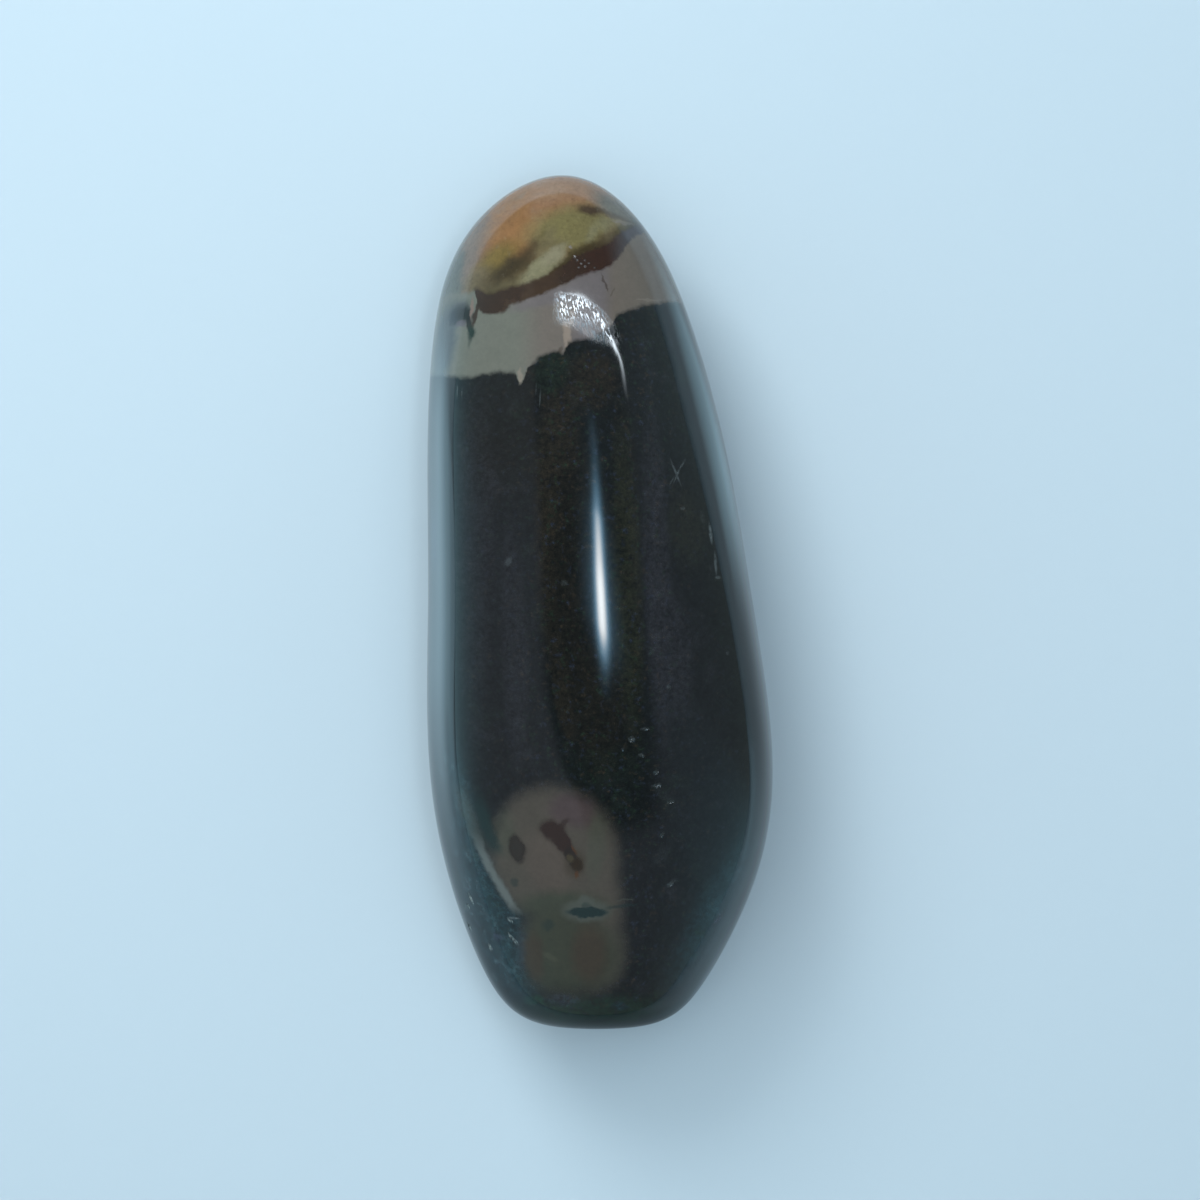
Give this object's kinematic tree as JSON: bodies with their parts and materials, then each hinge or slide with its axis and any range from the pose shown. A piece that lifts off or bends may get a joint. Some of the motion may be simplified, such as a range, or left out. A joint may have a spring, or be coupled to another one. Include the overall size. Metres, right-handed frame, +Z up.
{
  "type": "polished stone freeform",
  "caption": "Smooth hand-sized polished stone, long and rounded with one narrow and one blunt end, resting on a small flat ground on its back.",
  "frame": {"origin": "centre of the bounding box at its bottom, on the rest flat of the back", "axes": "+Y along the stone to its narrow coloured end, +Z up through the polished front, +X to the right of the front"},
  "size_m": [0.0608, 0.15, 0.0447],
  "materials": {
    "stone": "polished black, green and brown jasper with an orange and olive cap at the narrow end"
  },
  "bodies": {
    "root": {"stone": "stone"}
  },
  "joints": []
}
